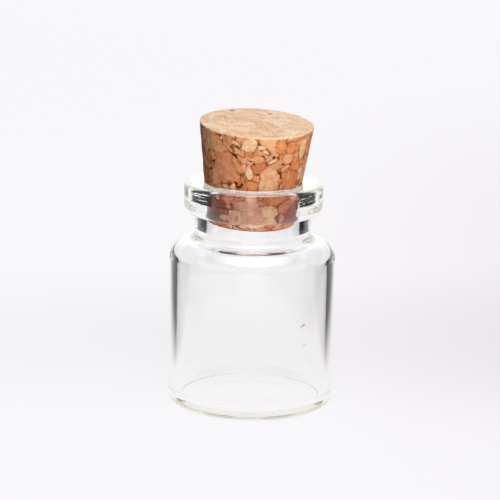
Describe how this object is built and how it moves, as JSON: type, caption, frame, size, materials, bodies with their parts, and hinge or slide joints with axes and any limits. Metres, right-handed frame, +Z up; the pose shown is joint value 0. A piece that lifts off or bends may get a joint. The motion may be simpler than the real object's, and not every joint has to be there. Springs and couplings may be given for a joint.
{
  "type": "corked glass bottle",
  "caption": "Small clear glass vial with a flanged mouth, a short neck and a round shoulder, closed by a tapered agglomerated cork that pulls out upwards.",
  "frame": {"origin": "middle of the flat ring under the foot that the bottle stands on", "axes": "+Z up along the bottle's axis, -Y to the front of the picture, +X to its right"},
  "size_m": [0.022, 0.022, 0.0387],
  "materials": {
    "clear_glass": "clear flint glass, fire polished, smooth and glossy",
    "cork": "agglomerated cork, matt, coarse granules with dark gaps between them"
  },
  "bodies": {
    "bottle": {"glass_bottle": "clear_glass"},
    "cork": {"cork_stopper": "cork"}
  },
  "joints": [
    {"name": "cork_pull", "type": "slide", "parent": "bottle", "child": "cork", "axis": [0, 0, 1], "range_m": [0, 0.025]}
  ]
}
